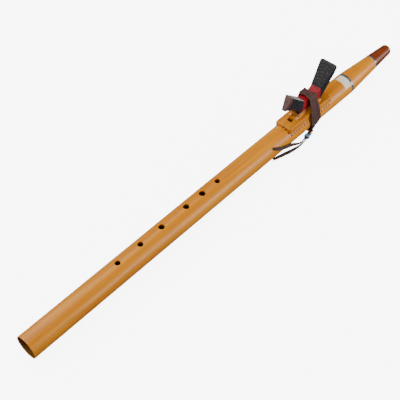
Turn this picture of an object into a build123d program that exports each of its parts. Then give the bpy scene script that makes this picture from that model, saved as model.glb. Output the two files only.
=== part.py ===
"""Two-chamber wooden duct flute with a strapped-on bird block, in millimetres.

The bore runs along X from the open foot to the mouth end, and the nest that carries the bird
block faces +Z. The origin is on the bore's axis, where the foot's inner chamfer meets the bore.
"""
import os
from math import atan2, cos, degrees, radians, sin, tan

from build123d import *

# Driving dimensions of the flute body
FLUTE_LENGTH = 650.0
BODY_RADIUS = 15.0
BORE_RADIUS = 11.0
FOOT_CHAMFER = 3.0
FOOT_RIM = 0.9

# Distances from the foot's end face
HOLES_FROM_FOOT = (135.0, 170.5, 204.5, 245.5, 273.0, 299.5)
HOLE_RADII = (3.5, 3.6, 3.8, 3.9, 4.1, 3.5)
SOUND_HOLE_FROM_FOOT = 437.0
PLUG_FROM_FOOT = (443.0, 455.0)
TAPER_FROM_FOOT = 553.6
TIP_FROM_FOOT = 612.2

# Air openings on the nest
SOUND_HOLE = (6.0, 8.2)
EXIT_HOLE = (6.0, 8.2)
EXIT_HOLE_FROM_FOOT = 461.0

# Nest, the flat platform under the bird
NEST_FROM_FOOT = (422.5, 507.0)
NEST_WIDTH = 25.0
NEST_TOP = 17.3
NEST_FRONT_CORNER = 2.0
NEST_REAR_CORNER = 6.0
NEST_EDGE = 1.3

# Head, inlay rings and mouthpiece
MOUTH_RADIUS = 7.5
MOUTH_ROUND = 2.6
HEAD_RING_WIDTH = 3.6
HEAD_RING_DEPTH = 1.2
TIP_RING_WIDTH = 2.4
TENON_RADIUS = 6.0
TENON_LENGTH = 14.0
BLOW_RADIUS = 3.5
CHAMBER_CYLINDER_END = 545.0

# Blank paper key label on the tube, angles from +Y towards +Z
LABEL_FROM_FOOT = (538.0, 549.4)
LABEL_ANGLES = (68.0, 150.0)
LABEL_THICKNESS = 0.15

# Bird block and its spacer
SLIDE_GAP = 0.05
SPACER_THICKNESS = 2.0
SPACER_WIDTH = 13.4
SPACER_FROM_FOOT = (441.2, 492.0)
FLUE_WIDTH = 7.6
BIRD_FRONT = 445.4
BIRD_HALF_WIDTH = 7.0
TAIL_CORNER = 4.0
TAIL_HALF_WIDTH = 12.0
TAIL_ROOT = (485.5, 37.6)
TAIL_TOP = (511.0, 66.17)
BIRD_EDGE = 0.7

# Leather strap, two crossing turns
STRAP_CENTRE = 469.0
STRAP_WIDTH = 9.0
STRAP_THICKNESS = 1.5
STRAP_SKEW = 14.0
STRAP_CLEARANCE = 0.45
SADDLE_TOP = 38.4
SADDLE_HALF_WIDTH = 7.3
SIDE_ANGLE = 12.0

# Knot, beads and thongs; the thongs leave the knot side by side
KNOT = Vector(460.5, -15.9, -11.0)
KNOT_RADIUS = 2.6
THONG_DIRECTION = Vector(-0.975, -0.2, 0.03).normalized()
THONG_RADIUS = 1.15
THONG_SPACING = 2.35
PONY_BEAD_RADIUS = 3.1
PONY_BEAD_HOLE = 2.35
PONY_BEAD_LENGTH = 2.8
PONY_BEAD_GAP = 0.2
PONY_BEAD_EDGE = 0.5
PONY_BEAD_START = 4.7
SLIDE_BEAD_RADIUS = 3.9
SLIDE_BEAD_HOLE = 2.65
SLIDE_BEAD_AT = 13.7
THONG_START = 2.7
THONG_STRAIGHT = 30.5

# Free ends of the thongs past the straight stretch, in the part's own frame
LONG_THONG_ROUTE = (
    (416.5, -19.0, -12.9),
    (402.5, -14.6, -13.1),
    (388.5, -11.0, -13.1),
)
SHORT_THONG_ROUTE = (
    (419.5, -16.7, -5.4),
    (405.0, -16.9, 0.4),
    (393.5, -15.6, 5.6),
    (386.0, -13.4, 9.6),
)


def at(from_foot):
    """X of a point at a distance from the foot's end face."""
    return from_foot - FOOT_CHAMFER


def shifted(points):
    """Outline points (distance from foot, height) moved into the part's frame."""
    return [(at(x), z) for x, z in points]


def turned(points):
    """Solid of revolution about X of a closed outline in the XZ plane."""
    outline = Polyline(*shifted(points), close=True)
    return revolve(Plane.XZ * make_face(outline), Axis.X)


def block(x_range, y_range, z_range):
    """Box between two corners, X given as distance from the foot."""
    size = [high - low for low, high in (x_range, y_range, z_range)]
    middle = [(low + high) / 2 for low, high in (x_range, y_range, z_range)]
    return Pos(at(middle[0]), middle[1], middle[2]) * Box(*size)


def cone_radius(from_foot):
    """Outer radius of the head's cone."""
    part_way = (from_foot - TAPER_FROM_FOOT) / (FLUTE_LENGTH - TAPER_FROM_FOOT)
    return BODY_RADIUS + (MOUTH_RADIUS - BODY_RADIUS) * part_way


def outer_tube(end):
    """Solid outer form of the body, from the foot to the given end."""
    return turned([(0, 0), (0, BODY_RADIUS), (TAPER_FROM_FOOT, BODY_RADIUS),
                   (end, cone_radius(end)), (end, 0)])


def nest():
    """Raised platform with rounded corners, down to the tube's shoulder."""
    start, end = NEST_FROM_FOOT
    platform = block((start, end), (-NEST_WIDTH / 2, NEST_WIDTH / 2), (4.0, NEST_TOP))
    uprights = platform.edges().filter_by(Axis.Z).group_by(Axis.X)
    platform = fillet(uprights[0], NEST_FRONT_CORNER)
    rear = platform.edges().filter_by(Axis.Z).group_by(Axis.X)[-1]
    platform = fillet(rear, NEST_REAR_CORNER)
    rim = platform.faces().sort_by(Axis.Z)[-1].edges()
    return fillet(rim, NEST_EDGE)


def sound_chamber():
    """Bore from the foot to the plug, with the wide chamfer at the foot."""
    rim_radius = BODY_RADIUS - FOOT_RIM
    plug_start = PLUG_FROM_FOOT[0]
    return turned([(0, 0), (0, rim_radius), (FOOT_CHAMFER, BORE_RADIUS),
                   (plug_start, BORE_RADIUS), (plug_start, 0)])


def slow_air_chamber():
    """Chamber behind the plug, narrowing to the mouthpiece's socket."""
    start = PLUG_FROM_FOOT[1]
    socket = TIP_FROM_FOOT - TIP_RING_WIDTH - TENON_LENGTH
    return turned([(start, 0), (start, BORE_RADIUS), (CHAMBER_CYLINDER_END, BORE_RADIUS),
                   (socket, TENON_RADIUS), (TIP_FROM_FOOT, TENON_RADIUS), (TIP_FROM_FOOT, 0)])


def finger_holes():
    """Six round holes along the top, through the wall only."""
    holes = []
    for x, radius in zip(HOLES_FROM_FOOT, HOLE_RADII):
        holes.append(Pos(at(x), 0, BODY_RADIUS) * Cylinder(radius, 2 * BODY_RADIUS - 12))
    return holes


def air_holes():
    """Square sound hole in front of the plug and exit hole behind it."""
    holes = []
    for x, (length, width) in ((SOUND_HOLE_FROM_FOOT, SOUND_HOLE), (EXIT_HOLE_FROM_FOOT, EXIT_HOLE)):
        holes.append(block((x - length / 2, x + length / 2), (-width / 2, width / 2), (6.0, 20.0)))
    return holes


def ring(start, end, outer_start, outer_end, inner):
    """Ring about X between two stations, conical outside and round inside."""
    return turned([(start, inner), (start, outer_start), (end, outer_end), (end, inner)])


def head_inlay_ring():
    """Crushed-stone ring let into the tube where the taper starts."""
    start = TAPER_FROM_FOOT - HEAD_RING_WIDTH
    return ring(start, TAPER_FROM_FOOT, BODY_RADIUS, BODY_RADIUS, BODY_RADIUS - HEAD_RING_DEPTH)


def tip_inlay_ring():
    """Thin stone ring between the head and the mouthpiece tip."""
    start = TIP_FROM_FOOT - TIP_RING_WIDTH
    return ring(start, TIP_FROM_FOOT, cone_radius(start), cone_radius(TIP_FROM_FOOT), TENON_RADIUS)


def body_halves():
    """The wooden body, as its glued upper and lower halves."""
    body_end = TIP_FROM_FOOT - TIP_RING_WIDTH
    body = outer_tube(body_end) + nest()
    body = body - sound_chamber() - slow_air_chamber() - finger_holes() - air_holes()
    body = body - head_inlay_ring()
    upper = split(body, bisect_by=Plane.XY, keep=Keep.TOP)
    lower = split(body, bisect_by=Plane.XY, keep=Keep.BOTTOM)
    return upper, lower


def mouthpiece_tip():
    """Dark wood tip with a rounded end, a tenon and the blow hole."""
    tip = turned([(TIP_FROM_FOOT - TIP_RING_WIDTH - TENON_LENGTH, 0),
                  (TIP_FROM_FOOT - TIP_RING_WIDTH - TENON_LENGTH, TENON_RADIUS),
                  (TIP_FROM_FOOT, TENON_RADIUS),
                  (TIP_FROM_FOOT, cone_radius(TIP_FROM_FOOT)),
                  (FLUTE_LENGTH, MOUTH_RADIUS), (FLUTE_LENGTH, 0)])
    rim = tip.edges().filter_by(GeomType.CIRCLE).sort_by(Axis.X)[-1]
    tip = fillet(rim, MOUTH_ROUND)
    bore = Pos(at(FLUTE_LENGTH), 0, 0) * Rot(0, 90, 0) * Cylinder(BLOW_RADIUS, 2 * TENON_LENGTH + 120)
    return tip - bore


def key_label():
    """Blank paper label that wraps part of the tube beside the ring."""
    start, end = LABEL_FROM_FOOT
    outer = BODY_RADIUS + LABEL_THICKNESS
    strip = Polyline(*shifted([(start, BODY_RADIUS), (start, outer), (end, outer),
                               (end, BODY_RADIUS)]), close=True)
    low, high = LABEL_ANGLES
    sheet = revolve(Plane.XZ * make_face(strip), Axis.X, high - low)
    return Rot(low - 90, 0, 0) * sheet


def spacer_plate():
    """Thin pale plate under the bird, with the flue slot from exit hole to sound hole."""
    start, end = SPACER_FROM_FOOT
    base = NEST_TOP + SLIDE_GAP
    plate = block((start, end), (-SPACER_WIDTH / 2, SPACER_WIDTH / 2), (base, base + SPACER_THICKNESS))
    flue_end = EXIT_HOLE_FROM_FOOT + EXIT_HOLE[0] / 2
    flue = block((start - 1, flue_end), (-FLUE_WIDTH / 2, FLUE_WIDTH / 2), (base - 1, base + 3))
    return plate - flue


def bird_side_outline():
    """Side view of the bird: beak, crest, saddle and rising slab tail."""
    base = NEST_TOP + SLIDE_GAP + SPACER_THICKNESS
    beak_tip = (at(421.0), 43.7)
    crest = (at(432.5), 60.6)
    saddle_front = (at(458.0), 38.4)
    saddle_low = (at(469.0), 36.2)
    saddle_rear = (at(TAIL_ROOT[0]), TAIL_ROOT[1])
    tail_top = (at(TAIL_TOP[0]), TAIL_TOP[1])
    tail_end = (at(515.1), 62.5)
    tail_under = (at(499.6), 40.3)
    rear = (at(489.0), 24.7)
    edges = [
        Line((at(BIRD_FRONT), base), (at(BIRD_FRONT), 30.0)),
        Line((at(BIRD_FRONT), 30.0), (at(436.5), 38.6)),
        Line((at(436.5), 38.6), beak_tip),
        Line(beak_tip, crest),
        Line(crest, saddle_front),
        ThreePointArc(saddle_front, saddle_low, saddle_rear),
        Line(saddle_rear, tail_top),
        Line(tail_top, tail_end),
        Line(tail_end, tail_under),
        Line(tail_under, rear),
        Line(rear, (at(486.0), base)),
        Line((at(486.0), base), (at(BIRD_FRONT), base)),
    ]
    return make_face(edges)


def bird_plan_outline():
    """Top view of the bird: narrow beak, straight body, flared tail."""
    half = [(419.0, 1.8), (420.0, 1.9), (430.0, 5.0), (445.0, BIRD_HALF_WIDTH),
            (484.0, 7.3), (514.6, 13.2)]
    right = [(at(x), -y) for x, y in half]
    left = [(at(x), y) for x, y in reversed(half)]
    return make_face(Polyline(*(right + left), close=True))


def tail_corner_cuts():
    """Waste outside the tail's two rounded end corners, cut square to the tail's upper face."""
    slope = degrees(atan2(TAIL_TOP[1] - TAIL_ROOT[1], TAIL_TOP[0] - TAIL_ROOT[0]))
    inset = TAIL_HALF_WIDTH - TAIL_CORNER
    cuts = []
    for side in (-1, 1):
        square = Pos(0, side * (inset + TAIL_CORNER), 0) * Box(2 * TAIL_CORNER, 2 * TAIL_CORNER, 30)
        disc = Pos(-TAIL_CORNER, side * inset, 0) * Cylinder(TAIL_CORNER, 32)
        cuts.append(Pos(at(TAIL_TOP[0]), 0, TAIL_TOP[1]) * Rot(0, -slope, 0) * (square - disc))
    return cuts


def bird_block():
    """Carved bird: where its side view and its top view, each drawn through, meet."""
    side = extrude(Plane.XZ * bird_side_outline(), 12, both=True)
    plan = extrude(bird_plan_outline(), 80)
    block_form = side & plan
    base = block_form.bounding_box().min.Z
    above_base = [edge for edge in block_form.edges() if edge.center().Z > base + BIRD_EDGE]
    return fillet(above_base, BIRD_EDGE) - tail_corner_cuts()


def strap_outline(gap):
    """Taut outline over the saddle, the nest's corners and round the tube, with a gap all round."""
    top = (SADDLE_HALF_WIDTH, SADDLE_TOP)
    shoulder = (NEST_WIDTH / 2, NEST_TOP)
    side = (BODY_RADIUS * cos(radians(SIDE_ANGLE)), BODY_RADIUS * sin(radians(SIDE_ANGLE)))
    edges = [
        Line((-top[0], top[1]), top),
        Line(top, shoulder),
        Line(shoulder, side),
        ThreePointArc(side, (0, -BODY_RADIUS), (-side[0], side[1])),
        Line((-side[0], side[1]), (-shoulder[0], shoulder[1])),
        Line((-shoulder[0], shoulder[1]), (-top[0], top[1])),
    ]
    return offset(make_face(edges), gap)


def strap_turn(gap, skew):
    """One turn of the flat strap, skewed so that two turns cross over the saddle."""
    loop = strap_outline(gap + STRAP_THICKNESS) - strap_outline(gap)
    sleeve = extrude(Plane.YZ * loop, 2 * STRAP_WIDTH, both=True)
    slice_of_sleeve = Rot(0, 0, skew) * Box(STRAP_WIDTH, 8 * BODY_RADIUS, 12 * BODY_RADIUS)
    return Pos(at(STRAP_CENTRE), 0, 0) * (sleeve & slice_of_sleeve)


def on_thong(distance):
    """Point on the thongs' common line, at a distance from the knot."""
    return KNOT + THONG_DIRECTION * distance


def across_thongs():
    """Direction from one thong to the other where they run side by side."""
    return THONG_DIRECTION.cross(Vector(0, 0, 1)).normalized()


def strap_knot():
    """Round knot that gathers the strap's ends under the tube's side."""
    return Pos(*KNOT) * Sphere(KNOT_RADIUS)


def pony_bead(distance):
    """Short glass bead threaded on both thongs."""
    middle = on_thong(distance + PONY_BEAD_LENGTH / 2)
    place = Plane(origin=middle, z_dir=THONG_DIRECTION)
    bead = Cylinder(PONY_BEAD_RADIUS, PONY_BEAD_LENGTH) - Cylinder(PONY_BEAD_HOLE, 2 * PONY_BEAD_LENGTH)
    rims = bead.edges().filter_by(GeomType.CIRCLE).sort_by(Edge.length.fget)[-2:]
    return place * fillet(rims, PONY_BEAD_EDGE)


def slide_bead():
    """Round stone bead that slides along the straight stretch of the thongs."""
    place = Plane(origin=on_thong(SLIDE_BEAD_AT), z_dir=THONG_DIRECTION)
    return place * (Sphere(SLIDE_BEAD_RADIUS) - Cylinder(SLIDE_BEAD_HOLE, 3 * SLIDE_BEAD_RADIUS))


def arc_radii(points):
    """Largest tangent arcs for a route: 0.45 of the shorter run over tan of half the turn."""
    radii = []
    for before, corner, after in zip(points, points[1:], points[2:]):
        first = corner - before
        second = after - corner
        half_turn = radians(first.get_angle(second)) / 2
        radii.append(0.45 * min(first.length, second.length) / tan(half_turn))
    return radii


def thong(name, side, route):
    """Leather thong: straight through the beads, then along its own free route."""
    offset = across_thongs() * (side * THONG_SPACING / 2)
    start = on_thong(THONG_START) + offset
    straight_end = on_thong(THONG_STRAIGHT) + offset
    points = [start, straight_end] + [Vector(*point) for point in route]
    radii = arc_radii(points)
    path = FilletPolyline(*points, radius=radii)
    profile = Plane(origin=start, z_dir=THONG_DIRECTION) * Circle(THONG_RADIUS)
    tube = sweep(profile, path=path)
    section = profile.area * path.length
    print(name, "radii", [round(r, 1) for r in radii], "length", round(path.length, 1),
          "volume", round(tube.volume, 1), "section times length", round(section, 1))
    return tube


def main():
    """Write each piece of the flute to its own STEP file."""
    upper, lower = body_halves()
    bead_step = PONY_BEAD_LENGTH + PONY_BEAD_GAP
    pieces = {
        "body_upper_half": upper,
        "body_lower_half": lower,
        "head_inlay_ring": head_inlay_ring(),
        "tip_inlay_ring": tip_inlay_ring(),
        "mouthpiece_tip": mouthpiece_tip(),
        "key_label": key_label(),
        "spacer_plate": spacer_plate(),
        "bird_block": bird_block(),
        "strap_turn_inner": strap_turn(STRAP_CLEARANCE, STRAP_SKEW),
        "strap_turn_outer": strap_turn(STRAP_CLEARANCE + STRAP_THICKNESS, -STRAP_SKEW),
        "strap_knot": strap_knot(),
        "pony_bead_red": pony_bead(PONY_BEAD_START),
        "pony_bead_black": pony_bead(PONY_BEAD_START + bead_step),
        "slide_bead": slide_bead(),
        "thong_long": thong("thong_long", -1, LONG_THONG_ROUTE),
        "thong_short": thong("thong_short", 1, SHORT_THONG_ROUTE),
    }
    os.makedirs("parts", exist_ok=True)
    for name, shape in pieces.items():
        export_step(shape, "parts/" + name + ".step")


main()
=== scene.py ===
import logging
from dataclasses import dataclass, field
from enum import Enum
from math import cos, pi, radians, sin, tan
from typing import Any, Optional, Sequence, Union

import bmesh
import bpy
import numpy as np
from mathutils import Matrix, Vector


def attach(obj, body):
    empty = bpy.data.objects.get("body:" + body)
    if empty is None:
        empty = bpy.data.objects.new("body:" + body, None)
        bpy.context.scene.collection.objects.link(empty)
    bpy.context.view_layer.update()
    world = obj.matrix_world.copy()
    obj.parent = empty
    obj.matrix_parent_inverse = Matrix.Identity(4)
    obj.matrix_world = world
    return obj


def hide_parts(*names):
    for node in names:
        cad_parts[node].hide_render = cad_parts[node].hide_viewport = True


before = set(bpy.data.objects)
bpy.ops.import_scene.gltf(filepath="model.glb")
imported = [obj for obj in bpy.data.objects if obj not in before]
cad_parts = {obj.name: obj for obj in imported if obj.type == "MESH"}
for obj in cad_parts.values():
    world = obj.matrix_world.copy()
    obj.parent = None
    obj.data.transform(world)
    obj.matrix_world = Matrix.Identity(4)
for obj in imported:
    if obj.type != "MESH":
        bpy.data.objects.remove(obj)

log = logging.getLogger("flute")
MM = 0.001
Colour = tuple[float, float, float]


class Slot(Enum):
    """Names of material slots in the record."""

    CEDAR = "cedar"
    PAINTED = "painted_wood"
    LEATHER = "strap_leather"


class Body(Enum):
    """Moving bodies that pieces ride on."""

    FLUTE = "flute_body"
    BIRD = "bird_set"


# ---------------------------------------------------------------- shader helpers
class Value:
    """One shader socket; arithmetic on it adds Math nodes."""

    def __init__(self, graph: "Graph", socket: Any) -> None:
        """Keep the socket and the graph that it belongs to."""
        self.graph = graph
        self.socket = socket

    def _math(self, operation: str, first: Any, second: Any = 0.0, clamp: bool = False) -> "Value":
        """Add one Math node.

        Args:
            operation: the node's operation.
            first: its first value.
            second: its second value.
            clamp: whether the result is kept between 0 and 1.

        Returns:
            The node's result.
        """
        settings = {"operation": operation, "use_clamp": clamp}
        return self.graph.node("ShaderNodeMath", settings, {0: first, 1: second})

    def __add__(self, other: Any) -> "Value":
        """Sum."""
        return self._math("ADD", self, other)

    __radd__ = __add__

    def __sub__(self, other: Any) -> "Value":
        """Difference."""
        return self._math("SUBTRACT", self, other)

    def __rsub__(self, other: Any) -> "Value":
        """Difference, the other way round."""
        return self._math("SUBTRACT", other, self)

    def __mul__(self, other: Any) -> "Value":
        """Product."""
        return self._math("MULTIPLY", self, other)

    __rmul__ = __mul__

    def __truediv__(self, other: Any) -> "Value":
        """Quotient."""
        return self._math("DIVIDE", self, other)

    def __rtruediv__(self, other: Any) -> "Value":
        """Quotient, the other way round."""
        return self._math("DIVIDE", other, self)

    def __pow__(self, other: Any) -> "Value":
        """Power."""
        return self._math("POWER", self, other)

    def __rpow__(self, other: Any) -> "Value":
        """Power, the other way round."""
        return self._math("POWER", other, self)

    def __abs__(self) -> "Value":
        """Size without its sign."""
        return self._math("ABSOLUTE", self)

    def __gt__(self, other: Any) -> "Value":
        """1 where this is more than the other, else 0."""
        return self._math("GREATER_THAN", self, other)

    def __lt__(self, other: Any) -> "Value":
        """1 where this is less than the other, else 0."""
        return self._math("LESS_THAN", self, other)

    def clamped(self) -> "Value":
        """The value kept between 0 and 1."""
        return self._math("ADD", self, 0.0, clamp=True)

    def ramp(self, low: float, high: float) -> "Value":
        """0 below low, 1 above high and straight between them."""
        return ((self - low) / (high - low)).clamped()


Input = Union[Value, float, Sequence[float]]


class Graph:
    """A material's nodes, ending in one Principled shader."""

    def __init__(self, name: str) -> None:
        """Make an empty material of that name.

        Args:
            name: the material's name.
        """
        self.material = bpy.data.materials.new(name)
        self.material.use_nodes = True
        self.tree = self.material.node_tree
        self.tree.nodes.clear()
        self.shader = self.tree.nodes.new("ShaderNodeBsdfPrincipled")
        output = self.tree.nodes.new("ShaderNodeOutputMaterial")
        self.tree.links.new(self.shader.outputs[0], output.inputs[0])

    def node(self, kind: str, settings: Optional[dict] = None, inputs: Optional[dict] = None,
             output: Union[int, str] = 0) -> Value:
        """Add a node.

        Args:
            kind: the node's type.
            settings: its properties; "stops" is a colour ramp's list of (place, colour).
            inputs: values or sockets by input name or number.
            output: which result to return.

        Returns:
            The chosen output.
        """
        made = self.tree.nodes.new(kind)
        for name, value in (settings or {}).items():
            if name == "stops":
                self._stops(made.color_ramp, value)
            else:
                setattr(made, name, value)
        for name, value in (inputs or {}).items():
            self._feed(made.inputs[name], value)
        return Value(self, made.outputs[output])

    def _feed(self, socket: Any, value: Input) -> None:
        """Link or set one input.

        Args:
            socket: the input.
            value: another socket's value, a number, a colour or a vector.
        """
        if isinstance(value, Value):
            self.tree.links.new(value.socket, socket)
        elif isinstance(value, (int, float)):
            socket.default_value = value
        elif socket.type == "RGBA":
            socket.default_value = (*value[:3], 1.0)
        else:
            socket.default_value = value

    @staticmethod
    def _stops(ramp: Any, stops: Sequence[tuple[float, Colour]]) -> None:
        """Set a colour ramp's stops.

        Args:
            ramp: the ramp.
            stops: (place, colour) of each stop, in order.
        """
        while len(ramp.elements) < len(stops):
            ramp.elements.new(0.5)
        for element, (place, colour) in zip(ramp.elements, stops):
            element.position = place
            element.color = (*colour, 1.0)

    def place(self) -> Value:
        """Object coordinates, in metres."""
        return self.node("ShaderNodeTexCoord", output="Object")

    def axes(self) -> tuple[Value, Value, Value]:
        """Object coordinates as separate values.

        Returns:
            X, Y and Z, in millimetres.
        """
        split = self.node("ShaderNodeSeparateXYZ", inputs={0: self.stretched((1000, 1000, 1000))})
        outputs = split.socket.node.outputs
        return tuple(Value(self, outputs[index]) for index in range(3))

    def stretched(self, factors: Sequence[float]) -> Value:
        """Object coordinates multiplied by a factor for each axis."""
        inputs = {0: self.place(), 1: factors}
        return self.node("ShaderNodeVectorMath", {"operation": "MULTIPLY"}, inputs)

    def noise(self, factors: Sequence[float], detail: float = 3.0, roughness: float = 0.55,
              distortion: float = 0.0) -> Value:
        """Noise on stretched Object coordinates.

        Args:
            factors: cells per metre along each axis.
            detail: octaves.
            roughness: how strong the finer octaves are.
            distortion: how far the pattern is bent.

        Returns:
            The noise, about 0 to 1.
        """
        inputs = {"Vector": self.stretched(factors), "Scale": 1.0, "Detail": detail,
                  "Roughness": roughness, "Distortion": distortion}
        return self.node("ShaderNodeTexNoise", {"noise_dimensions": "3D"}, inputs)

    def mix(self, factor: Input, first: Input, second: Input) -> Value:
        """Blend of two colours."""
        inputs = {0: factor, 6: first, 7: second}
        return self.node("ShaderNodeMix", {"data_type": "RGBA"}, inputs, output=2)

    def ramp(self, value: Value, stops: Sequence[tuple[float, Colour]]) -> Value:
        """Colour ramp on a value."""
        return self.node("ShaderNodeValToRGB", {"stops": stops}, {0: value})

    def bump(self, height: Value, distance: float, strength: float = 1.0) -> Value:
        """Bump from a height.

        Args:
            height: the height, 0 to 1.
            distance: what a height of 1 stands for, in metres.
            strength: how much of it shows.

        Returns:
            The bent normal.
        """
        inputs = {"Height": height, "Distance": distance, "Strength": strength}
        return self.node("ShaderNodeBump", inputs=inputs)

    def done(self, colour: Input, roughness: Input, normal: Optional[Value] = None,
             coat: Optional[Value] = None, **constants: float) -> bpy.types.Material:
        """Feed the shader and return the material.

        Args:
            colour: base colour.
            roughness: roughness.
            normal: bent normal, if any.
            coat: varying coat weight, if any.
            constants: other sockets' values, with _ for a space in the name.

        Returns:
            The finished material.
        """
        self._feed(self.shader.inputs["Base Color"], colour)
        self._feed(self.shader.inputs["Roughness"], roughness)
        if normal is not None:
            self._feed(self.shader.inputs["Normal"], normal)
        if coat is not None:
            self._feed(self.shader.inputs["Coat Weight"], coat)
        for name, value in constants.items():
            self.shader.inputs[name.replace("_", " ")].default_value = value
        return self.material


# ---------------------------------------------------------------- finishes
@dataclass(frozen=True)
class LacqueredWood:
    """Straight-grained wood under satin lacquer, grain along X.

    The grain is three noises stretched along X: broad bands of tone, growth lines and fine pores.
    A fourth lays darker streaks over it; inside bore_radius up to bore_end the wood is darkened as painted
    shade.
    """

    name: str
    dark: Colour
    middle: Colour
    light: Colour
    streak: Colour
    streak_share: float = 0.35
    bore_radius: float = 14.6
    bore_end: float = 545.0
    coat: float = 0.12
    shine: float = 0.3

    def build(self) -> bpy.types.Material:
        """Make the material.

        Returns:
            The finished material.
        """
        graph = Graph(self.name)
        bands = graph.noise((5, 90, 90), detail=2.0, distortion=0.4)
        lines = graph.noise((9, 620, 620), detail=3.0)
        pores = graph.noise((70, 2600, 2600), detail=2.0, roughness=0.7)
        tone = bands * 0.5 + lines * 0.38 + pores * 0.12
        wood = graph.ramp(tone, [(0.36, self.dark), (0.5, self.middle), (0.64, self.light)])
        streaks = graph.noise((7, 260, 260), detail=4.0, roughness=0.65).ramp(0.56, 0.68)
        wood = graph.mix(streaks * self.streak_share, wood, self.streak)
        x, y, z = graph.axes()
        # painted shade: the wood inside the bore and the finger holes is darkened to stand for the shade in
        # them
        inside = 1 - ((y * y + z * z) ** 0.5).ramp(self.bore_radius - 1.6, self.bore_radius - 0.1)
        inside = inside * (x < self.bore_end)
        painted_bore_shade = tuple(0.22 * channel for channel in self.dark)
        wood = graph.mix(inside * 0.9, wood, painted_bore_shade)
        height = lines * 0.5 + pores * 0.5
        normal = graph.bump(height, 0.00006, 0.5)
        roughness = 0.30 + pores * 0.12 + inside * 0.3
        return graph.done(wood, roughness, normal, Coat_Weight=self.coat, Coat_Roughness=0.16,
                          Specular_IOR_Level=self.shine)


@dataclass(frozen=True)
class BurntWood:
    """Dark red-brown scorched wood of the dashes round the nest."""

    def build(self) -> bpy.types.Material:
        """Make the material.

        Returns:
            The finished material.
        """
        graph = Graph("burnt_dashes")
        mottle = graph.noise((900, 900, 900), detail=3.0)
        colour = graph.ramp(mottle, [(0.35, (0.08, 0.002, 0.001)), (0.7, (0.22, 0.007, 0.002))])
        return graph.done(colour, 0.42 + mottle * 0.2, graph.bump(mottle, 0.00008))


@dataclass(frozen=True)
class BirdPaint:
    """Paint zones of the carved bird, worked out from its own coordinates in millimetres.

    Bare wood below base_top; red from a slanting front back to red_end; a brown face on the
    facet's plane, with a dark red-brown cheek just behind it; pale grey on the slope behind
    the crest as a painted reflection of light on the glossy black; black everywhere else.
    """

    base_top: float
    red_start: float
    red_end: float
    facet_point: tuple[float, float]
    facet_normal: tuple[float, float]
    slope_point: tuple[float, float]
    slope_normal: tuple[float, float]

    def build(self) -> bpy.types.Material:
        """Make the material.

        Returns:
            The finished material.
        """
        graph = Graph("bird_paint")
        x, _, z = graph.axes()
        wander = (graph.noise((400, 400, 400), detail=2.0) - 0.5) * 1.2
        brush = graph.noise((300, 900, 300), detail=3.0)
        red = graph.ramp(brush, [(0.3, (0.20, 0.002, 0.006)), (0.7, (0.40, 0.006, 0.016))])
        black = graph.ramp(brush, [(0.35, (0.006, 0.006, 0.009)), (0.7, (0.020, 0.020, 0.030))])
        front = x - (z - self.base_top) * 0.28 + wander
        in_red = front.ramp(self.red_start - 0.4, self.red_start + 0.4)
        in_red = in_red * (1 - (x + wander).ramp(self.red_end - 0.4, self.red_end + 0.4))
        # painted reflection: the slope behind the crest is mixed to pale grey to stand for the gleam of light
        # on the glossy black there
        (sx, sz), (ux, uz) = self.slope_point, self.slope_normal
        on_slope = ((x - sx) * ux + (z - sz) * uz).ramp(-0.45, -0.2) * (x < sx - 3.0)
        slope_painted_reflection = graph.ramp(brush, [(0.3, (0.34, 0.34, 0.33)), (0.7, (0.62, 0.61, 0.59))])
        black = graph.mix(on_slope, black, slope_painted_reflection)
        paint = graph.mix(in_red, black, red)
        (px, pz), (nx, nz) = self.facet_point, self.facet_normal
        depth = (x - px) * nx + (z - pz) * nz + wander * 0.5
        grain = graph.noise((260, 1400, 500), detail=4.0, roughness=0.7)
        facet = graph.ramp(grain, [(0.3, (0.085, 0.045, 0.042)), (0.7, (0.23, 0.14, 0.13))])
        cheek = graph.ramp(grain, [(0.3, (0.060, 0.016, 0.013)), (0.7, (0.17, 0.048, 0.038))])
        paint = graph.mix(depth.ramp(-5.5, -3.5), paint, cheek)
        paint = graph.mix(depth.ramp(-1.3, -0.7), paint, facet)
        lines = graph.noise((30, 700, 700))
        bare = graph.ramp(lines, [(0.35, (0.40, 0.13, 0.02)), (0.65, (0.62, 0.27, 0.06))])
        on_base = 1 - (z + wander * 0.3).ramp(self.base_top - 0.2, self.base_top + 0.2)
        paint = graph.mix(on_base, paint, bare)
        height = brush * 0.5 + grain * 0.5
        normal = graph.bump(height, 0.00012, 0.45)
        matt = (on_base + in_red).clamped()
        roughness = 0.22 + brush * 0.12 + matt * 0.25
        coat = 0.45 * (1 - matt)
        return graph.done(paint, roughness, normal, coat=coat, Coat_Roughness=0.10,
                          Specular_IOR_Level=0.35)


@dataclass(frozen=True)
class CarvedBlack:
    """Black paint over the carved tail, rubbed grey on the ridges (attribute "ridge")."""

    def build(self) -> bpy.types.Material:
        """Make the material.

        Returns:
            The finished material.
        """
        graph = Graph("carved_black")
        ridge = graph.node("ShaderNodeAttribute", {"attribute_name": "ridge"}, output="Fac")
        speck = graph.noise((700, 700, 700), detail=4.0, roughness=0.7)
        wear = (ridge.ramp(0.45, 0.9) * speck.ramp(0.50, 0.60)).clamped()
        colour = graph.mix(speck, (0.004, 0.004, 0.005), (0.014, 0.012, 0.016))
        colour = graph.mix(wear * 0.8, colour, (0.19, 0.15, 0.14))
        normal = graph.bump(speck, 0.0001, 0.6)
        return graph.done(colour, 0.36 + speck * 0.2, normal, Specular_IOR_Level=0.25)


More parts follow.
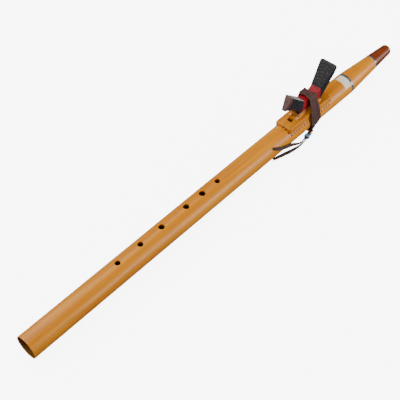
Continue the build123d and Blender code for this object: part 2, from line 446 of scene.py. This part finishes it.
@dataclass(frozen=True)
class CrushedStone:
    """Crushed turquoise and dark blue stone in clear resin: cells of mixed tone with dark joints."""

    name: str
    cells: float

    def build(self) -> bpy.types.Material:
        """Make the material.

        Returns:
            The finished material.
        """
        graph = Graph(self.name)
        inputs = {"Vector": graph.place(), "Scale": self.cells}
        chips = graph.node("ShaderNodeTexVoronoi", {"feature": "F1"}, inputs, output="Color")
        edges = graph.node("ShaderNodeTexVoronoi", {"feature": "DISTANCE_TO_EDGE"}, inputs)
        pick = graph.node("ShaderNodeSeparateColor", inputs={0: chips})
        colour = graph.ramp(pick, [(0.05, (0.010, 0.03, 0.10)), (0.35, (0.03, 0.13, 0.17)),
                                   (0.6, (0.10, 0.24, 0.22)), (0.8, (0.24, 0.24, 0.16)),
                                   (0.97, (0.015, 0.05, 0.12))])
        joint = 1 - edges.ramp(0.02, 0.10)
        colour = graph.mix(joint * 0.8, colour, (0.012, 0.016, 0.020))
        return graph.done(colour, 0.12 + joint * 0.2, Coat_Weight=0.8, Coat_Roughness=0.05)


@dataclass(frozen=True)
class PolishedStone:
    """Blue turquoise bead with darker veins."""

    def build(self) -> bpy.types.Material:
        """Make the material.

        Returns:
            The finished material.
        """
        graph = Graph("turquoise_bead")
        cloud = graph.noise((260, 260, 260), detail=4.0)
        wave = graph.noise((330, 330, 330), detail=5.0, distortion=1.5)
        vein = 1 - abs(wave - 0.5).ramp(0.0, 0.035)
        colour = graph.ramp(cloud, [(0.3, (0.010, 0.16, 0.42)), (0.7, (0.08, 0.42, 0.66))])
        colour = graph.mix(vein * 0.7, colour, (0.02, 0.05, 0.09))
        return graph.done(colour, 0.14 + vein * 0.2, Coat_Weight=0.8, Coat_Roughness=0.05)


@dataclass(frozen=True)
class GlassBead:
    """Opaque glass with faint swirls."""

    name: str
    dark: Colour
    light: Colour

    def build(self) -> bpy.types.Material:
        """Make the material.

        Returns:
            The finished material.
        """
        graph = Graph(self.name)
        swirl = graph.noise((300, 300, 300), detail=2.0, distortion=2.0)
        colour = graph.ramp(swirl, [(0.35, self.dark), (0.7, self.light)])
        return graph.done(colour, 0.10 + swirl * 0.06, Coat_Weight=0.6, Coat_Roughness=0.04)


@dataclass(frozen=True)
class Leather:
    """Soft dark leather: grain cells, fibres and paler rubbed edges (attribute "edge")."""

    name: str
    deep: Colour
    mid: Colour
    rubbed: Colour

    def build(self) -> bpy.types.Material:
        """Make the material.

        Returns:
            The finished material.
        """
        graph = Graph(self.name)
        cells = graph.node("ShaderNodeTexVoronoi", {"feature": "DISTANCE_TO_EDGE"},
                           {"Vector": graph.place(), "Scale": 1500.0})
        cloud = graph.noise((170, 170, 170), detail=4.0)
        fibre = graph.noise((1400, 1400, 300), detail=3.0, roughness=0.7)
        edge = graph.node("ShaderNodeAttribute", {"attribute_name": "edge"}, output="Fac")
        colour = graph.ramp(cloud, [(0.3, self.deep), (0.65, self.mid)])
        rub = (edge * 0.75 + fibre.ramp(0.5, 0.75) * 0.35).clamped()
        colour = graph.mix(rub, colour, self.rubbed)
        height = cells.ramp(0.0, 0.25) * 0.5 + fibre * 0.5
        normal = graph.bump(height, 0.00014, 0.7)
        return graph.done(colour, 0.52 + fibre * 0.22, normal, Specular_IOR_Level=0.3)


@dataclass(frozen=True)
class LabelPaper:
    """Blank off-white paper with faint fibres."""

    def build(self) -> bpy.types.Material:
        """Make the material.

        Returns:
            The finished material.
        """
        graph = Graph("label_paper")
        fibre = graph.noise((500, 900, 900), detail=5.0, roughness=0.7)
        colour = graph.ramp(fibre, [(0.3, (0.80, 0.73, 0.54)), (0.7, (0.92, 0.88, 0.74))])
        return graph.done(colour, 0.55 + fibre * 0.2, graph.bump(fibre, 0.00004))


@dataclass(frozen=True)
class PaleSurface:
    """The plain pale floor."""

    def build(self) -> bpy.types.Material:
        """Make the material.

        Returns:
            The finished material.
        """
        graph = Graph("pale_floor")
        cloud = graph.noise((3, 3, 3), detail=1.0)
        graph.shader.inputs["Emission Color"].default_value = (1.0, 1.0, 1.0, 1.0)
        return graph.done(graph.mix(cloud, (0.93, 0.93, 0.93), (0.95, 0.95, 0.95)), 0.75,
                          Emission_Strength=7.0)


# ---------------------------------------------------------------- mesh helpers
def surface(name: str, points: np.ndarray, wrap_u: bool = False, wrap_v: bool = False,
            attributes: Optional[dict[str, np.ndarray]] = None) -> bpy.types.Object:
    """Make a mesh from a grid of points.

    Vertex (i, j) is points[i, j]; each face joins (i, j), (i+1, j), (i+1, j+1) and (i, j+1),
    with the last row or column joined to the first where the grid wraps.

    Args:
        name: the object's name.
        points: array of shape (rows, columns, 3), in metres.
        wrap_u: whether the rows close.
        wrap_v: whether the columns close.
        attributes: values per vertex, by name, of shape (rows, columns).

    Returns:
        The linked object, shaded smooth.
    """
    rows, columns = points.shape[:2]
    index = np.arange(rows * columns).reshape(rows, columns)
    below = np.roll(index, -1, axis=0)
    right = np.roll(index, -1, axis=1)
    corner = np.roll(below, -1, axis=1)
    faces = np.stack([index, below, corner, right], axis=-1)
    faces = faces[: rows if wrap_u else rows - 1, : columns if wrap_v else columns - 1]
    mesh = bpy.data.meshes.new(name)
    mesh.from_pydata(points.reshape(-1, 3).tolist(), [], faces.reshape(-1, 4).tolist())
    for key, values in (attributes or {}).items():
        layer = mesh.attributes.new(key, "FLOAT", "POINT")
        layer.data.foreach_set("value", values.astype(np.float32).ravel())
    mesh.polygons.foreach_set("use_smooth", np.ones(len(mesh.polygons), bool))
    made = bpy.data.objects.new(name, mesh)
    bpy.context.scene.collection.objects.link(made)
    return made


def unit(vectors: np.ndarray) -> np.ndarray:
    """Vectors divided by their lengths."""
    return vectors / np.linalg.norm(vectors, axis=-1, keepdims=True)


def tube(name: str, line: np.ndarray, radius: float, sides: int = 14) -> bpy.types.Object:
    """Closed loop of round tube: a circle carried along a closed line.

    Args:
        name: the object's name.
        line: points of the closed line, shape (n, 3), in metres.
        radius: the tube's radius, in metres.
        sides: points round the tube.

    Returns:
        The tube.
    """
    along = unit(np.roll(line, -1, axis=0) - np.roll(line, 1, axis=0))
    out = unit(line - line.mean(axis=0))
    side = unit(np.cross(along, out))
    out = np.cross(side, along)
    turn = np.linspace(0, 2 * pi, sides, endpoint=False)
    ring = np.cos(turn)[None, :, None] * out[:, None] + np.sin(turn)[None, :, None] * side[:, None]
    return surface(name, line[:, None] + radius * ring, wrap_u=True, wrap_v=True)


def weld(piece: bpy.types.Object, distance: float = 1e-6) -> None:
    """Merge a mesh's doubled points and turn its faces outwards.

    Args:
        piece: the object.
        distance: how near two points are to be one, in metres.
    """
    work = bmesh.new()
    work.from_mesh(piece.data)
    bmesh.ops.remove_doubles(work, verts=work.verts, dist=distance)
    bmesh.ops.recalc_face_normals(work, faces=work.faces)
    work.to_mesh(piece.data)
    work.free()


def dress(piece: bpy.types.Object, material: bpy.types.Material) -> None:
    """Give a piece one material."""
    piece.data.materials.clear()
    piece.data.materials.append(material)


def dress_node(name: str, material: bpy.types.Material) -> None:
    """Give a CAD node a material in place of its plain one.

    Args:
        name: the node's name.
        material: its new material.
    """
    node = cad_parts[name]
    if not node.material_slots:
        node.data.materials.append(material)
    for holder in node.material_slots:
        holder.material = material


# ---------------------------------------------------------------- studio
@dataclass
class Studio:
    """Camera, floor and soft lights."""

    camera_place: tuple[float, float, float] = (-0.1936, -0.4844, 0.7761)
    camera_turn: tuple[float, float, float] = (40.835, 2.548, -46.474)
    lens: float = 76.5
    frame_shift: tuple[float, float] = (-0.00125, 0.00125)
    floor_height: float = -18.6 * MM
    floor_reach: float = 40.0
    aim: tuple[float, float, float] = (0.36, 0.0, 0.0)
    room_light: float = 0.16

    def camera(self) -> None:
        """Set the camera."""
        data = bpy.data.cameras.new("camera")
        data.lens = self.lens
        data.sensor_width = 36.0
        data.shift_x, data.shift_y = self.frame_shift
        data.clip_start = 0.05
        made = bpy.data.objects.new("camera", data)
        made.location = self.camera_place
        made.rotation_euler = [radians(angle) for angle in self.camera_turn]
        bpy.context.scene.collection.objects.link(made)
        bpy.context.scene.camera = made

    def floor(self) -> None:
        """Lay the pale floor."""
        across = np.linspace(-self.floor_reach, self.floor_reach, 9)
        grid = np.stack(np.meshgrid(across, across, indexing="ij"), axis=-1)
        points = np.concatenate([grid, np.full((*grid.shape[:2], 1), self.floor_height)], axis=-1)
        made = surface("floor", points)
        made.visible_diffuse = False
        made.visible_glossy = False
        dress(made, PaleSurface().build())

    def light(self, name: str, direction: tuple[float, float, float], distance: float,
              size: tuple[float, float], power: float, tint: Colour = (1, 1, 1)) -> None:
        """Add an area light that faces the flute.

        Args:
            name: the light's name.
            direction: from the flute towards the light.
            distance: how far away it is, in metres.
            size: its width and height, in metres.
            power: its power, in watts.
            tint: its colour.
        """
        data = bpy.data.lights.new(name, "AREA")
        data.shape = "RECTANGLE"
        data.size, data.size_y = size
        data.energy = power
        data.color = tint
        made = bpy.data.objects.new(name, data)
        away = Vector(direction).normalized()
        made.location = Vector(self.aim) + away * distance
        made.rotation_euler = (-away).to_track_quat("-Z", "Y").to_euler()
        made.visible_camera = False
        bpy.context.scene.collection.objects.link(made)

    def lights(self) -> None:
        """Light the flute softly from above, the front and the back."""
        world = bpy.data.worlds.new("studio")
        world.use_nodes = True
        room = world.node_tree.nodes["Background"]
        room.inputs["Color"].default_value = (1.0, 1.0, 1.0, 1.0)
        room.inputs["Strength"].default_value = self.room_light
        bpy.context.scene.world = world
        self.light("overhead", (-0.25, 0.35, 1.0), 1.7, (2.2, 1.8), 40.0)
        self.light("front_card", (0.516, -0.83, 0.16), 1.3, (1.3, 0.6), 21.0, (1.0, 0.96, 0.92))
        self.light("back_fill", (-0.3, 1.0, 0.5), 1.6, (1.2, 0.8), 8.0)

    def build(self) -> None:
        """Build the lights and the floor."""
        self.floor()
        self.lights()


# ---------------------------------------------------------------- wooden body
@dataclass
class WoodenBody:
    """The two glued halves and the burnt dashes round the nest."""

    radius: float = 15.0
    nest_ends: tuple[float, float] = (419.5, 504.0)
    nest_width: float = 25.0
    front_corner: float = 2.0
    rear_corner: float = 6.0
    dash_gap: float = 0.75
    dash_pitch: float = 5.0
    dash_length: float = 3.6
    dash_width: float = 2.3
    dash_rise: float = 0.24
    dash_sink: float = 0.03
    dash_slant: float = 22.0

    def nest_line(self, gap: float, count: int) -> np.ndarray:
        """Plan outline of the nest, a gap outside it.

        Straight sides joined by quarter circles, resampled at even steps along its length.

        Args:
            gap: distance outside the nest's wall, in millimetres.
            count: number of points.

        Returns:
            Points (x, y) of shape (count, 2), in millimetres.
        """
        start, end = self.nest_ends
        half = self.nest_width / 2
        arcs = []
        for x, y, corner, first in (
            (start, half, self.front_corner, 90), (start, -half, self.front_corner, 180),
            (end, -half, self.rear_corner, 270), (end, half, self.rear_corner, 0),
        ):
            centre = np.array([x + corner if x == start else x - corner, y - corner if y > 0 else y + corner])
            turn = np.radians(first + np.linspace(0, 90, 24))
            arcs.append(centre + (corner + gap) * np.stack([np.cos(turn), np.sin(turn)], axis=-1))
        loop = np.concatenate(arcs + [arcs[0][:1]])
        steps = np.concatenate([[0], np.cumsum(np.linalg.norm(np.diff(loop, axis=0), axis=1))])
        wanted = np.linspace(0, steps[-1], count, endpoint=False)
        return np.stack([np.interp(wanted, steps, loop[:, axis]) for axis in (0, 1)], axis=-1)

    def burn_dashes(self) -> bpy.types.Object:
        """Low oval mounds along the foot of the nest, one every dash pitch.

        Each is a half ellipsoid: its height is the rise times the square root of one minus the
        squared distance from its middle, set on the tube with its long axis near the outline. The
        mound follows the tube's curve across, and its rim is sunk a little into the wood.

        Returns:
            The dashes, as one piece.
        """
        fine = self.nest_line(self.dash_gap, 2000)
        around = np.linalg.norm(np.diff(fine, axis=0), axis=1).sum()
        count = int(around / self.dash_pitch)
        line = self.nest_line(self.dash_gap, count)
        ahead = np.roll(line, -1, axis=0) - np.roll(line, 1, axis=0)
        y = line[:, 1]
        z = np.sqrt(np.maximum(self.radius**2 - y**2, 1.0))
        out = np.stack([np.zeros(count), y, z], axis=-1) / self.radius
        along = np.concatenate([ahead, np.zeros((count, 1))], axis=-1)
        along = unit(along - (along * out).sum(-1, keepdims=True) * out)
        across = np.cross(out, along)
        slant = radians(self.dash_slant)
        along, across = along * cos(slant) + across * sin(slant), across * cos(slant) - along * sin(slant)
        rings, spokes = 5, 12
        far = np.linspace(0, 1, rings)[:, None]
        turn = np.linspace(0, 2 * pi, spokes, endpoint=False)[None]
        a = far * np.cos(turn) * self.dash_length / 2
        b = far * np.sin(turn) * self.dash_width / 2
        rise = self.dash_rise * np.sqrt(1 - far**2) - self.dash_sink - b**2 / (2 * self.radius)
        middle = np.concatenate([line, z[:, None]], axis=-1)
        mounds = middle[:, None, None] + a[..., None] * along[:, None, None]
        mounds = mounds + b[..., None] * across[:, None, None] + rise[..., None] * out[:, None, None]
        index = np.arange(count * rings * spokes).reshape(count, rings, spokes)
        beside = np.roll(index, -1, axis=2)
        faces = np.stack([index[:, :-1], index[:, 1:], beside[:, 1:], beside[:, :-1]], axis=-1)
        mesh = bpy.data.meshes.new("burn_dashes")
        mesh.from_pydata((mounds * MM).reshape(-1, 3).tolist(), [], faces.reshape(-1, 4).tolist())
        made = bpy.data.objects.new("burn_dashes", mesh)
        bpy.context.scene.collection.objects.link(made)
        weld(made)
        mesh.polygons.foreach_set("use_smooth", np.ones(len(mesh.polygons), bool))
        return made

    def build(self) -> list[str]:
        """Dress the halves and add the dashes.

        Returns:
            The pieces' names.
        """
        cedar = LacqueredWood("cedar_lacquer", (0.54, 0.160, 0.001), (0.68, 0.240, 0.003),
                              (0.80, 0.320, 0.012), (0.55, 0.110, 0.004)).build()
        dress_node("body_upper_half", cedar)
        dress_node("body_lower_half", cedar)
        dashes = self.burn_dashes()
        dress(dashes, BurntWood().build())
        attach(dashes, Body.FLUTE.value)
        return ["body_upper_half", "body_lower_half", dashes.name]


# ---------------------------------------------------------------- head end
@dataclass
class HeadEnd:
    """Inlay rings, mouthpiece tip and blank label."""

    def build(self) -> list[str]:
        """Dress the head's nodes.

        Returns:
            Their names.
        """
        dress_node("head_inlay_ring", CrushedStone("head_ring_stone", 620.0).build())
        dress_node("tip_inlay_ring", CrushedStone("tip_ring_stone", 760.0).build())
        padauk = LacqueredWood("padauk_lacquer", (0.085, 0.011, 0.003), (0.165, 0.027, 0.004),
                               (0.25, 0.052, 0.006), (0.12, 0.006, 0.003), streak_share=0.6,
                               bore_radius=4.4, bore_end=700.0, coat=0.2).build()
        dress_node("mouthpiece_tip", padauk)
        dress_node("key_label", LabelPaper().build())
        return ["head_inlay_ring", "tip_inlay_ring", "mouthpiece_tip", "key_label"]


# ---------------------------------------------------------------- bird
@dataclass
class Bird:
    """The carved bird, its plate and the relief on its tail."""

    tail_root: tuple[float, float] = (485.0, 40.4)
    tail_end: tuple[float, float] = (507.3, 65.38)
    root_half_width: float = 6.7
    end_half_width: float = 11.4
    corner: float = 0.13
    corner_cut: float = 2.9
    rise: float = 0.45
    sink: float = 0.05
    shell: float = 0.3
    feather_rows: float = 7.5
    chevron: float = 0.8
    quill_half_width: float = 0.07

    def tail_relief(self) -> bpy.types.Object:
        """Rows of carved feather barbs over the tail's upper face.

        On a grid of s along the tail and t across it, the height is a row wave in s + |t|, which
        makes chevrons, times a fine wave of barbs, fading to nothing at the edges. The half width
        grows with s and rounds off at the end as a quarter ellipse.

        Returns:
            The relief, with its height in the attribute "ridge".
        """
        rows, columns = 150, 84
        s = np.linspace(0, 1, rows)[:, None]
        t = np.linspace(-1, 1, columns)[None, :]
        (x0, z0), (x1, z1) = self.tail_root, self.tail_end
        along = np.array([x1 - x0, 0, z1 - z0])
        out = unit(np.array([-(z1 - z0), 0, x1 - x0]))
        half = self.root_half_width + (self.end_half_width - self.root_half_width) * s
        near_end = np.clip((s - (1 - self.corner)) / self.corner, 0, 1)
        half = half - self.corner_cut * (1 - np.sqrt(1 - near_end**2))
        jitter = 0.07 * np.sin(23 * t + 5) + 0.05 * np.sin(41 * t * s + 2)
        phase = s * self.feather_rows + self.chevron * np.abs(t) + jitter
        saw = 1 - np.mod(phase, 1.0)
        barbs = 0.5 + 0.5 * np.sin(64 * t - 26 * s + 3 * np.sin(9 * s))
        quill = np.exp(-((t / self.quill_half_width) ** 2))
        shape = np.clip(0.25 + 0.55 * saw**1.4 + 0.2 * barbs * saw + 0.3 * quill, 0, 1)
        edge = np.clip((1 - np.abs(t)) / 0.08, 0, 1)
        edge = edge * np.clip(s / 0.04, 0, 1) * np.clip((1 - s) / 0.03, 0, 1)
        height = self.rise * shape * edge - self.sink
        points = np.array([x0, 0, z0]) + s[..., None] * along
        points = points + (t * half)[..., None] * np.array([0, 1.0, 0]) + height[..., None] * out
        return surface("tail_relief", points * MM, attributes={"ridge": shape * edge})

    def build(self) -> list[str]:
        """Dress the block and the plate, and carve the tail.

        Returns:
            The pieces' names.
        """
        paint = BirdPaint(base_top=24.4, red_start=448.0, red_end=484.5,
                          facet_point=(429.5, 60.6), facet_normal=(-0.827, 0.563),
                          slope_point=(455.0, 38.4), slope_normal=(0.656, 0.755)).build()
        dress_node("bird_block", paint)
        plate = LacqueredWood("pale_plate", (0.62, 0.30, 0.08), (0.76, 0.42, 0.15), (0.86, 0.55, 0.25),
                              (0.6, 0.3, 0.08), streak_share=0.2, bore_radius=2.0, coat=0.2).build()
        dress_node("spacer_plate", plate)
        relief = self.tail_relief()
        dress(relief, CarvedBlack().build())
        solid = relief.modifiers.new("thickness", "SOLIDIFY")
        solid.thickness = self.shell * MM
        solid.offset = -1.0
        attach(relief, Body.BIRD.value)
        return ["bird_block", "spacer_plate", relief.name]


# ---------------------------------------------------------------- strap
@dataclass
class Strap:
    """Two crossing turns of flat leather, gathered into a knot on the -Y side."""

    inner_centre: float = 467.5
    inner_skew: float = 21.0
    outer_centre: float = 466.0
    outer_skew: float = 14.0
    width: float = 9.0
    thickness: float = 1.3
    clearance: float = 0.5
    saddle: tuple[float, float] = (7.3, 38.4)
    shoulder: tuple[float, float] = (12.5, 17.3)
    body_radius: float = 15.0
    knot: tuple[float, float, float] = (460.5, -15.9, -11.0)
    knot_size: float = 2.5
    knot_cord: float = 0.95
    knot_reach: float = 7.0
    gathering: float = 0.52
    crease_depth: float = 0.13
    curl_depth: float = 0.16
    wrap_past_side: float = 12.0
    smoothing_passes: int = 6
    finish: Leather = field(default_factory=lambda: Leather(
        "strap_leather", (0.034, 0.012, 0.012), (0.080, 0.032, 0.029), (0.13, 0.075, 0.045)))

    def outline(self, count: int) -> tuple[np.ndarray, np.ndarray]:
        """Taut closed line over the saddle, the nest's corners and round the tube.

        Straight runs and one arc, resampled at even steps and smoothed by a short moving average;
        the normals are its tangents turned by a right angle.

        Args:
            count: number of points.

        Returns:
            Points and outward normals (y, z), of shape (count, 2), in millimetres.
        """
        side = radians(self.wrap_past_side)
        turn = np.linspace(side, -pi - side, 80)
        arc = self.body_radius * np.stack([np.cos(turn), np.sin(turn)], axis=-1)
        (sy, sz), (ny, nz) = self.saddle, self.shoulder
        corners = np.array([(0, sz), (sy, sz), (ny, nz)])
        back = np.array([(-ny, nz), (-sy, sz), (0, sz)])
        loop = np.concatenate([corners, arc, back])
        steps = np.concatenate([[0], np.cumsum(np.linalg.norm(np.diff(loop, axis=0), axis=1))])
        wanted = np.linspace(0, steps[-1], count, endpoint=False)
        points = np.stack([np.interp(wanted, steps, loop[:, axis]) for axis in (0, 1)], axis=-1)
        for _ in range(self.smoothing_passes):
            points = (np.roll(points, 1, 0) + points * 2 + np.roll(points, -1, 0)) / 4
        ahead = np.roll(points, -1, 0) - np.roll(points, 1, 0)
        normals = unit(np.stack([-ahead[:, 1], ahead[:, 0]], axis=-1))
        return points, normals

    def turn(self, name: str, centre: float, skew: float, lift: float,
             phase: float) -> bpy.types.Object:
        """One turn of the strap.

        A rounded flat section is carried round the taut outline. Its middle leans along X with Y,
        and near the knot it is drawn towards the knot and made narrower and thicker. Low waves
        across the section are the creases.

        Args:
            name: the piece's name.
            centre: where its middle crosses the saddle, along X, in millimetres.
            skew: lean in degrees.
            lift: distance out from the outline, in millimetres.
            phase: where the creases start.

        Returns:
            The turn.
        """
        count, sides = 420, 30
        line, normal = self.outline(count)
        gap = np.hypot(line[:, 0] - self.knot[1], line[:, 1] - self.knot[2])
        pull = np.exp(-((gap / self.knot_reach) ** 2))[:, None]
        way = np.linspace(0, 2 * pi, count, endpoint=False)[:, None]
        spin = np.linspace(0, 2 * pi, sides, endpoint=False)[None]
        across = np.sign(np.cos(spin)) * np.abs(np.cos(spin)) ** 0.45
        thick = np.sign(np.sin(spin)) * np.abs(np.sin(spin)) ** 0.7
        width = self.width * (1 - self.gathering * pull) * (1 + 0.05 * np.sin(3 * way + phase))
        crease = self.crease_depth * np.sin(across * 7 + 2.0 * np.sin(2 * way + phase)) * (1 + 3 * pull)
        curl = self.curl_depth * np.abs(across) ** 3
        out = lift + self.thickness / 2 * (1 + thick * (1 + 0.5 * pull))
        out = out + (crease + curl) * 0.8 + 0.5 * pull
        lean = centre + line[:, :1] * tan(radians(skew))
        middle = lean * (1 - pull) + (self.knot[0] + 0.6) * pull
        x = middle + across * width / 2
        y = line[:, :1] + normal[:, :1] * out
        z = line[:, 1:] + normal[:, 1:] * out
        edge = np.abs(across) ** 6 * np.ones_like(x)
        return surface(name, np.stack([x, y, z], axis=-1) * MM, True, True, {"edge": edge})

    def knot_loop(self) -> bpy.types.Object:
        """Overhand knot: a tube along a trefoil.

        The trefoil goes twice round the knot's middle while its distance from it and its place
        along X each swing three times.

        Returns:
            The loop.
        """
        turn = np.linspace(0, 2 * pi, 200, endpoint=False)
        reach = 1.25 + 0.62 * np.cos(3 * turn)
        line = np.stack([0.55 * np.sin(3 * turn), reach * np.cos(2 * turn),
                         reach * np.sin(2 * turn)], axis=-1)
        line = np.array(self.knot) + line * self.knot_size / 2.9
        return tube("strap_knot_loop", line * MM, self.knot_cord * MM)

    def build(self) -> list[str]:
        """Build both turns and the knot.

        Returns:
            Their names.
        """
        leather = self.finish.build()
        over = self.clearance + self.thickness + 0.15
        inner = self.turn("strap_inner", self.inner_centre, -self.inner_skew, self.clearance, 0.4)
        outer = self.turn("strap_outer", self.outer_centre, self.outer_skew, over, 2.1)
        knot = self.knot_loop()
        for piece, node in ((inner, "strap_turn_inner"), (outer, "strap_turn_outer"), (knot, "strap_knot")):
            weld(piece)
            dress(piece, leather)
            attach(piece, Body.BIRD.value)
            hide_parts(node)
        return [inner.name, outer.name, knot.name]


# ---------------------------------------------------------------- thongs and beads
@dataclass
class Thongs:
    """Two free leather ends with their beads."""

    width: float = 3.4
    thickness: float = 1.9

    def lace(self, name: str, points: Sequence[tuple[float, float, float]],
             tilts: Sequence[float], spread: Sequence[float]) -> bpy.types.Object:
        """Flat lace along a smooth line.

        Args:
            name: name of the curve.
            points: control points of the line, in metres.
            tilts: turn of the flat section about the line at each point, in degrees.
            spread: size of the section at each point, as a share of the lace's own.

        Returns:
            The curve object.
        """
        data = bpy.data.curves.new(name, "CURVE")
        data.dimensions = "3D"
        data.fill_mode = "FULL"
        data.twist_mode = "Z_UP"
        data.bevel_depth = self.thickness / 2 * MM
        data.extrude = (self.width - self.thickness) / 2 * MM
        data.bevel_resolution = 4
        data.resolution_u = 24
        data.use_fill_caps = True
        spline = data.splines.new("NURBS")
        spline.points.add(len(points) - 1)
        for place, (point, tilt, share) in enumerate(zip(points, tilts, spread)):
            spline.points[place].co = (*point, 1.0)
            spline.points[place].tilt = radians(tilt)
            spline.points[place].radius = share
        spline.order_u = 3
        spline.use_endpoint_u = True
        made = bpy.data.objects.new(name, data)
        bpy.context.scene.collection.objects.link(made)
        return made

    def build(self) -> list[str]:
        """Build both thongs, and dress the beads.

        Returns:
            The pieces' names.
        """
        leather = Leather("thong_leather", (0.022, 0.009, 0.009), (0.060, 0.030, 0.028),
                          (0.12, 0.085, 0.06)).build()
        long_route = ((0.45763, -0.01759, -0.01092), (0.44409, -0.02037, -0.01050),
                      (0.43054, -0.02315, -0.01008),
                      (0.41650, -0.01900, -0.01290), (0.40250, -0.01460, -0.01310),
                      (0.38850, -0.01100, -0.01310))
        short_route = ((0.45810, -0.01529, -0.01092), (0.44456, -0.01807, -0.01050),
                       (0.43101, -0.02085, -0.01008),
                       (0.41950, -0.01670, -0.00540), (0.40500, -0.01690, 0.00040),
                       (0.39350, -0.01560, 0.00560), (0.38600, -0.01340, 0.00960))
        beads = [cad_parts[name] for name in ("pony_bead_red", "pony_bead_black", "slide_bead")]
        long_lace = self.lace("thong_long_lace", long_route, (0, 0, 0, 55, 55, 55),
                              (0.7, 0.7, 0.75, 1.35, 1.45, 1.05))
        short_lace = self.lace("thong_short_lace", short_route, (0, 0, 0, 35, 35, 35, 35),
                               (0.7, 0.7, 0.75, 1.3, 1.4, 1.4, 1.05))
        for lace, node in ((long_lace, "thong_long"), (short_lace, "thong_short")):
            dress(lace, leather)
            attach(lace, Body.BIRD.value)
            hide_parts(node)
        red = GlassBead("red_glass", (0.045, 0.001, 0.002), (0.22, 0.006, 0.010)).build()
        black = GlassBead("black_glass", (0.003, 0.003, 0.006), (0.010, 0.010, 0.030)).build()
        dress_node("pony_bead_red", red)
        dress_node("pony_bead_black", black)
        dress_node("slide_bead", PolishedStone().build())
        return [long_lace.name, short_lace.name] + [bead.name for bead in beads]


def main() -> None:
    """Build every sub-assembly in order and report its pieces."""
    logging.basicConfig(level=logging.INFO, format="%(message)s")
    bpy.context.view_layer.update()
    studio = Studio()
    studio.camera()
    for assembly in (Thongs(), Strap(), WoodenBody(), HeadEnd(), Bird()):
        for piece in assembly.build():
            log.info("%s: %s", type(assembly).__name__, piece)
    studio.build()


if __name__ == "__main__":
    main()
